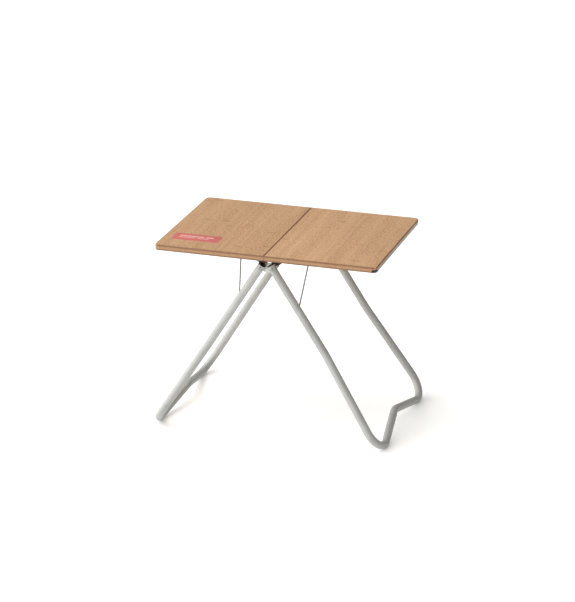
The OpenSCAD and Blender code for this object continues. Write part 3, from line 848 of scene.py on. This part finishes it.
class CAMPTABLE_OT_leg_tubes(bpy.types.Operator):
    """Builds the bent leg tubes and the plugs in their upper ends"""

    bl_idname = "camptable.leg_tubes"
    bl_label = "Leg tubes"

    def execute(self, context):
        sizes, finish = groups(context)
        silver = drawn_metal("anodised_tube", finish.tube_silver, 0.58, worn_below=6 * MM)
        plug = moulded("plug_plastic", finish.plug_black, 0.5)
        path, bends, tube_y = leg_line(sizes)
        line = spaced(bent_line(path, bends, 18), 14 * MM)
        tube = swept(line, Vector((1, 0, 0)), sizes.tube_d / 2, sizes.round_steps,
                     sizes.tube_wall)
        tube.transform(leg_frame(sizes))
        plugs = joined([self.plug(sizes)], [
            leg_frame(sizes) @ Matrix.Translation((0, y * tube_y, 0)) for y in (-1, 1)])
        both_sides(("frame_{}_leg_tube", tube, silver, "{}_leg", "{}_leg_tube", "anodised_tube"),
                   ("frame_{}_tube_plugs", plugs, plug, "{}_leg", "{}_tube_plugs", "plug_plastic"))
        return {"FINISHED"}

    def plug(self, sizes):
        """A plug of a tube's upper end: a tapered stem, and a lip that covers the wall."""
        depth, taper, rim, dish = 20 * MM, 1 * MM, 0.9 * MM, 0.4 * MM
        tube_r, top = sizes.tube_d / 2, sizes.tube_end
        stem_r, foot, seat = tube_r - sizes.tube_wall - RUNNING_GAP, top - depth, top - PLUG_LIP
        return lathe([(0, foot), (stem_r - taper, foot), (stem_r, foot + taper), (stem_r, seat),
                      (tube_r, seat)]
                     + arc((tube_r - rim, top - rim), rim, 0, 90, 5)
                     + [(tube_r * 0.55, top), (tube_r * 0.5, top - dish), (0, top - dish)],
                     sizes.round_steps)


class CAMPTABLE_OT_stays(bpy.types.Operator):
    """Builds the wire stays and the bushes they turn in"""

    bl_idname = "camptable.stays"
    bl_label = "Wire stays"

    def execute(self, context):
        sizes, finish = groups(context)
        wire = drawn_metal("stay_wire", finish.wire_silver, 0.32, 0.16)
        black = moulded("bush_plastic", finish.moulding_black, 0.5)
        tube_y = leg_line(sizes)[2]
        tube_in, wire_r = tube_y - sizes.tube_d / 2, sizes.wire_d / 2
        bar = Vector((ROD.x + sizes.bar_x, 0, BOARD_LOW.z - sizes.bar_drop))
        foot = Vector((STAY_HOLE.x, 0, STAY_HOLE.z))
        far, near = tube_in + 7 * MM, tube_in - 5 * MM
        path = [foot + Vector((0, -far, 0)), foot + Vector((0, -near, 0)),
                bar + Vector((0, -sizes.bar_half, 0)), bar + Vector((0, sizes.bar_half, 0)),
                foot + Vector((0, near, 0)), foot + Vector((0, far, 0))]
        low_r, top_r = 5 * MM, 8 * MM
        line = spaced(bent_line(path, [0, low_r, top_r, top_r, low_r, 0], 12), 8 * MM)
        normal = (bar - foot).cross(Vector((0, 1, 0))).normalized()
        stay = swept(line, normal, wire_r, 24)
        places = [along_y(STAY_HOLE.x, y * tube_in, STAY_HOLE.z, y) for y in (-1, 1)]
        bushes = joined([self.bush(wire_r)], places)
        both_sides(("wire_{}_stay", stay, wire, "{}_wire", "{}_stay", "stay_wire"),
                   ("bushes_{}_stay", bushes, black, "{}_leg", "{}_stay_bushes", "bush_plastic"))
        return {"FINISHED"}

    def bush(self, wire_r):
        """A bush round a wire's end, with a flange on the inner side of the tube."""
        depth, wall, flange_w, flange_t, rim = 3.2 * MM, 1.2 * MM, 1.2 * MM, 1 * MM, 0.4 * MM
        bore_r, bush_r = wire_r + RUNNING_GAP, wire_r + wall
        flange_r = bush_r + flange_w
        return lathe([(bore_r, depth), (bush_r, depth), (bush_r, 0.0), (flange_r, 0.0)]
                     + arc((flange_r - rim, rim - flange_t), rim, 0, -90, 4)
                     + [(wire_r + rim, -flange_t), (bore_r, -0.7 * MM)], 32, closed=True)


# ---------------------------------------------------------------- hub


class CAMPTABLE_OT_hub(bpy.types.Operator):
    """Builds the pivot rods, hub plates, washers and retaining rings"""

    bl_idname = "camptable.hub"
    bl_label = "Pivot hub"

    def execute(self, context):
        sizes, finish = groups(context)
        steel = rolled_metal("fastener_steel", finish.steel, 0.34, (700, 90, 700))
        alloy = rolled_metal("hub_plate_metal", finish.plate_silver, 0.4, (60, 900, 900))
        self.rods(sizes, steel)
        self.plates(alloy)
        self.washers_and_rings(sizes, steel)
        return {"FINISHED"}

    def rods(self, sizes, steel):
        rod_r, groove_w, groove_d = sizes.rod_d / 2, 1 * MM, 0.5 * MM
        head_r, head_t = rod_r + 0.9 * MM, 1.6 * MM
        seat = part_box("right_pivot_rod")[1].y - head_t
        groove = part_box("retaining_rings")[1].y
        half = [(0, -seat), (rod_r, -seat), (rod_r, -groove), (rod_r - groove_d, -groove),
                (rod_r - groove_d, groove_w - groove), (rod_r, groove_w - groove)]
        bar = lathe(half + [(r, -h) for r, h in reversed(half)], sizes.round_steps)
        flat_t = head_t * 0.25
        head = lathe(dome_profile(head_r, head_t - flat_t, flat_t), sizes.round_steps)
        heads = [along_y(ROD.x, way * (seat + flat_t), ROD.z, way) for way in (-1, 1)]
        shape = joined([moved(bar, along_y(ROD.x, 0, ROD.z, 1))] + [moved(head, h) for h in heads])
        both_sides(("hub_{}_pivot_rod", shape, steel, "hub", "{}_pivot_rod", "fastener_steel"))

    def plates(self, alloy):
        rounds = [(ROD.x, 0, PLATE_HIGH.z - ROD.z),
                  (PLATE_CORNER_X, PLATE_LOW.z - ROD.z + PLATE_CORNER_R, PLATE_CORNER_R)]
        rim = [p for x, z, size in rounds for way in (-1, 1)
               for p in arc((way * x, z), size, 0, 360, 40)]
        outline = [rim[i] for i in convex_hull_2d([Vector(p) for p in rim])]
        slab = prism(outline, PLATE_T, 0.45 * MM)
        for name, way in ENDS:
            middle = way * (abs(PLATE_LOW.y) + abs(PLATE_HIGH.y)) / 2
            mesh = shifted(upright(slab, middle, PLATE_T), 0, 0, ROD.z)
            finished(f"hub_{name}_plate", mesh, alloy, "hub", f"{name}_hub_plate")

    def washers_and_rings(self, sizes, steel):
        rod_r = sizes.rod_d / 2
        for name, way in ENDS:
            low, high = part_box(f"{name}_washers")
            near, far = min(abs(low.y), abs(high.y)), max(abs(low.y), abs(high.y))
            t = (far - near - PLATE_T) / 2
            ring = lathe(washer_profile(rod_r, rod_r + 3.2 * MM, t, 0.25 * MM), 40, True)
            places = [along_y(x, way * start, ROD.z, way)
                      for x in (-ROD.x, ROD.x) for start in (near, far - t)]
            finished(f"hub_{name}_washers", joined([ring], places), steel, "hub",
                     f"{name}_washers")
        outer, inner, gap, t = rod_r + 2.2 * MM, rod_r - 0.5 * MM, 32, 1 * MM
        clip = (arc((0, 0), outer, -90 + gap, 270 - gap, 30)
                + arc((0, 0), inner, 270 - gap * 1.3, -90 + gap * 1.3, 30))
        slab = prism(clip, t, 0.15 * MM)
        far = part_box("retaining_rings")[1].y
        rings = [shifted(upright(slab, way * (far - t / 2), t), x, 0, ROD.z)
                 for x in (-ROD.x, ROD.x) for way in (-1, 1)]
        finished("hub_retaining_rings", joined(rings), steel, "hub", "retaining_rings")


# ---------------------------------------------------------------- brackets and hooks


def wood_screw(sizes, grip):
    """A cross-slotted screw whose head hangs below z = 0."""
    r = sizes.screw_d / 2
    head_r, head_t = r + 1.7 * MM, 1.8 * MM
    dome = lathe(dome_profile(head_r, head_t * 0.7, head_t * 0.3), 32)
    dome = moved(dome, Matrix.Translation((0, 0, -head_t * 0.3))
                 @ Matrix.Rotation(math.radians(180), 4, "X"))
    long, wide, deep = 1.6 * MM, 0.35 * MM, 0.9 * MM
    cuts = [block((-a, -b, -head_t - MM), (a, b, -head_t + deep))
            for a, b in ((long, wide), (wide, long))]
    head = fused(dome, cuts, "DIFFERENCE")
    shank = lathe([(0, -0.2 * MM), (r, -0.2 * MM), (r, grip + 5 * MM), (0, grip + 7 * MM)], 24)
    return joined([head, shank])


class CAMPTABLE_OT_brackets(bpy.types.Operator):
    """Builds the moulded brackets that hang the boards on the rods, and their screws"""

    bl_idname = "camptable.brackets"
    bl_label = "Brackets"

    def execute(self, context):
        sizes, finish = groups(context)
        black = moulded("black_plastic", finish.moulding_black, 0.52)
        steel = rolled_metal("screw_steel", finish.steel, 0.3, (800, 800, 200))
        low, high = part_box("right_rear_bracket")
        shape = self.bracket(sizes, low, high)
        spots = [Matrix.Translation((ROD.x + x, way * (low.y + high.y) / 2 + y,
                                     BOARD_LOW.z - sizes.flange_t))
                 for way in (-1, 1) for x in BRACKET_SCREW_X
                 for y in (-BRACKET_SCREW_Y, BRACKET_SCREW_Y)]
        at_ends = [moved(shape, Matrix.Scale(way, 4, Vector((0, 1, 0)))) for _, way in ENDS]
        fittings("bracket", at_ends, black, joined([wood_screw(sizes, sizes.flange_t)], spots),
                 steel)
        return {"FINISHED"}

    def bracket(self, sizes, low, high):
        """The rear right bracket: barrel and web, rib, and flange, in one moulding."""
        web_half, rib_w, rib_l, sunk = 8.5 * MM, 4 * MM, 30 * MM, 0.5 * MM
        top = BOARD_LOW.z - ROD.z
        under, barrel_r = top - sizes.flange_t, sizes.barrel_d / 2
        barrel_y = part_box("rear_washers")[0].y - 0.3 * MM - sizes.barrel_l / 2
        web = arc((0, 0), barrel_r, 180, 360, 28) + [(web_half, top), (-web_half, top)]
        web = upright(prism(web, sizes.barrel_l, 0.6 * MM), barrel_y, sizes.barrel_l)
        rib = softened([(0, 0), (barrel_r, 0), (rib_l, under), (rib_l, top - sunk),
                        (0, top - sunk)], [0, 2 * MM, 2 * MM, 0, 0])
        rib = upright(prism(rib, rib_w, 0.5 * MM), (low.y + high.y) / 2, rib_w)
        x0, x1 = low.x - ROD.x, high.x - ROD.x
        plan = softened([(x0, low.y), (x1, low.y), (x1, high.y), (x0, high.y)],
                        [0.8 * MM, 4 * MM, 4 * MM, 0.8 * MM], 8)
        flange = shifted(prism(plan, sizes.flange_t, 0.5 * MM), 0, 0, under)
        return shifted(fused(web, [rib, flange]), ROD.x, 0, ROD.z)


class CAMPTABLE_OT_hooks(bpy.types.Operator):
    """Builds the hooks that hold the stays' bars under the boards, and their screws"""

    bl_idname = "camptable.hooks"
    bl_label = "Stay hooks"

    def execute(self, context):
        sizes, finish = groups(context)
        black = moulded("hook_plastic", finish.moulding_black, 0.48)
        steel = rolled_metal("hook_screw_steel", finish.steel, 0.3, (800, 800, 200))
        shape = self.hook(sizes)
        spots = [Matrix.Translation((ROD.x + sizes.bar_x - HOOK_SCREW_BACK,
                                     way * sizes.hook_y + y, BOARD_LOW.z - HOOK_PLATE_T))
                 for way in (-1, 1) for y in (-HOOK_SCREW_Y, HOOK_SCREW_Y)]
        at_ends = [shifted(shape, 0, way * sizes.hook_y, 0) for _, way in ENDS]
        fittings("hook", at_ends, black, joined([wood_screw(sizes, HOOK_PLATE_T)], spots), steel)
        return {"FINISHED"}

    def hook(self, sizes):
        """A hook round the stay's bar, open outwards, with its screwed plate."""
        inner = sizes.wire_d / 2 + 0.3 * MM
        outer = inner + sizes.hook_t
        top, under, lip = sizes.bar_drop, sizes.bar_drop - HOOK_PLATE_T, 1.1 * MM - inner
        back, front, lip_w = -inner - 21 * MM, 6.5 * MM, 1.4 * MM
        outline = [(back, top)]
        outline += softened([(back, top), (back, under), (-outer, under), (-outer, 0)],
                            [0, 1.2 * MM, 1.2 * MM, 0])[1:-1]
        outline += arc((0, 0), outer, 180, 270, 10)
        outline += softened([(0, -outer), (front, -outer), (front, lip), (front - lip_w, lip),
                             (front - lip_w, -inner), (0, -inner)],
                            [0, 1 * MM, 0.5 * MM, 0.5 * MM, 0.4 * MM, 0])[1:-1]
        outline += arc((0, 0), inner, 270, 180, 8) + [(-inner, top)]
        mesh = upright(prism(outline, sizes.hook_w, 0.4 * MM), 0.0, sizes.hook_w)
        return shifted(mesh, ROD.x + sizes.bar_x, 0, BOARD_LOW.z - top)


# ---------------------------------------------------------------- stage


class CAMPTABLE_OT_stage(bpy.types.Operator):
    """Sets up the floor, the studio light and the camera"""

    bl_idname = "camptable.stage"
    bl_label = "Stage"

    def execute(self, context):
        self.floor(groups(context)[1])
        self.lights(context)
        self.camera(context)
        context.scene.view_settings.view_transform = "Standard"
        return {"FINISHED"}

    def floor(self, finish):
        s = Shader("studio_floor", roughness=0.85, emission_strength=0.24)
        cloud = s.noise(s.place, 0.8, 2.0)
        pale = [min(1.0, c * 1.02) for c in finish.floor_white]
        tone = s.blend(cloud, finish.floor_white, pale)
        s.feed("Base Color", tone)
        s.feed("Emission Color", tone)
        half = 20.0
        mesh = mesh_from([(-half, -half, 0), (half, -half, 0), (half, half, 0), (-half, half, 0)],
                         [[0, 1, 2, 3]])
        mesh.materials.append(s.material)
        floor = bpy.data.objects.new("studio_floor", mesh)
        floor.location.z = CAD_BOX[0][2]
        bpy.context.scene.collection.objects.link(floor)

    def lights(self, context):
        world = bpy.data.worlds.new("studio")
        world.use_nodes = True
        background = world.node_tree.nodes["Background"].inputs
        background["Color"].default_value = (1, 1, 1, 1)
        background["Strength"].default_value = 0.22
        context.scene.world = world
        self.sun(context, "key", (-0.85, -0.4, 0.5), 4.7, 100)
        self.sun(context, "top", (-0.1, 0.2, 1.0), 0.9, 80)

    def sun(self, context, name, place, strength, spread):
        """A wide sun that shines from its place towards the middle of the table."""
        lamp = bpy.data.lights.new(name, "SUN")
        lamp.energy, lamp.angle = strength, math.radians(spread)
        item = bpy.data.objects.new(name, lamp)
        item.location = place
        item.rotation_euler = (-Vector(place)).to_track_quat("-Z", "Y").to_euler()
        context.scene.collection.objects.link(item)

    def camera(self, context):
        lens = bpy.data.cameras.new("camera")
        lens.sensor_width, lens.lens = 36.0, 153.16
        lens.clip_start, lens.clip_end = 0.05, 100.0
        turn, rise, roll = (math.radians(a) for a in (18.806, 21.208, -0.627))
        away, target = 5.297, Vector((-0.003453, 0.0, 0.24587))
        back = Vector((math.sin(turn) * math.cos(rise), -math.cos(turn) * math.cos(rise),
                       math.sin(rise)))
        level = (-back).cross(Vector((0, 0, 1))).normalized()
        rising = level.cross(-back)
        across = level * math.cos(roll) + rising * math.sin(roll)
        up = rising * math.cos(roll) - level * math.sin(roll)
        item = bpy.data.objects.new("camera", lens)
        grid = Matrix((across, up, back)).transposed().to_4x4()
        item.matrix_world = Matrix.Translation(target + back * away) @ grid
        context.scene.collection.objects.link(item)
        context.scene.camera = item


class CAMPTABLE_PT_panel(bpy.types.Panel):
    """Lists the pieces of the table and their sizes and colours"""

    bl_label = "Camp Table"
    bl_idname = "CAMPTABLE_PT_panel"
    bl_space_type = "VIEW_3D"
    bl_region_type = "UI"
    bl_category = "Camp Table"

    def draw(self, context):
        for operator in OPERATORS:
            self.layout.operator(operator.bl_idname)
        for group in groups(context):
            column = self.layout.column(align=True)
            for key in group.__annotations__:
                column.prop(group, key)


OPERATORS = (
    CAMPTABLE_OT_stage,
    CAMPTABLE_OT_boards,
    CAMPTABLE_OT_end_trim,
    CAMPTABLE_OT_label,
    CAMPTABLE_OT_leg_tubes,
    CAMPTABLE_OT_stays,
    CAMPTABLE_OT_hub,
    CAMPTABLE_OT_brackets,
    CAMPTABLE_OT_hooks,
)
CLASSES = (CampTableSizes, CampTableFinish, *OPERATORS, CAMPTABLE_PT_panel)


def register():
    for item in CLASSES:
        bpy.utils.register_class(item)
    bpy.types.Scene.camp_table_sizes = PointerProperty(type=CampTableSizes)
    bpy.types.Scene.camp_table_finish = PointerProperty(type=CampTableFinish)


def unregister():
    del bpy.types.Scene.camp_table_finish
    del bpy.types.Scene.camp_table_sizes
    for item in reversed(CLASSES):
        bpy.utils.unregister_class(item)


def main():
    register()
    for operator in OPERATORS:
        group, name = operator.bl_idname.split(".")
        getattr(getattr(bpy.ops, group), name)()


if __name__ == "__main__":
    main()
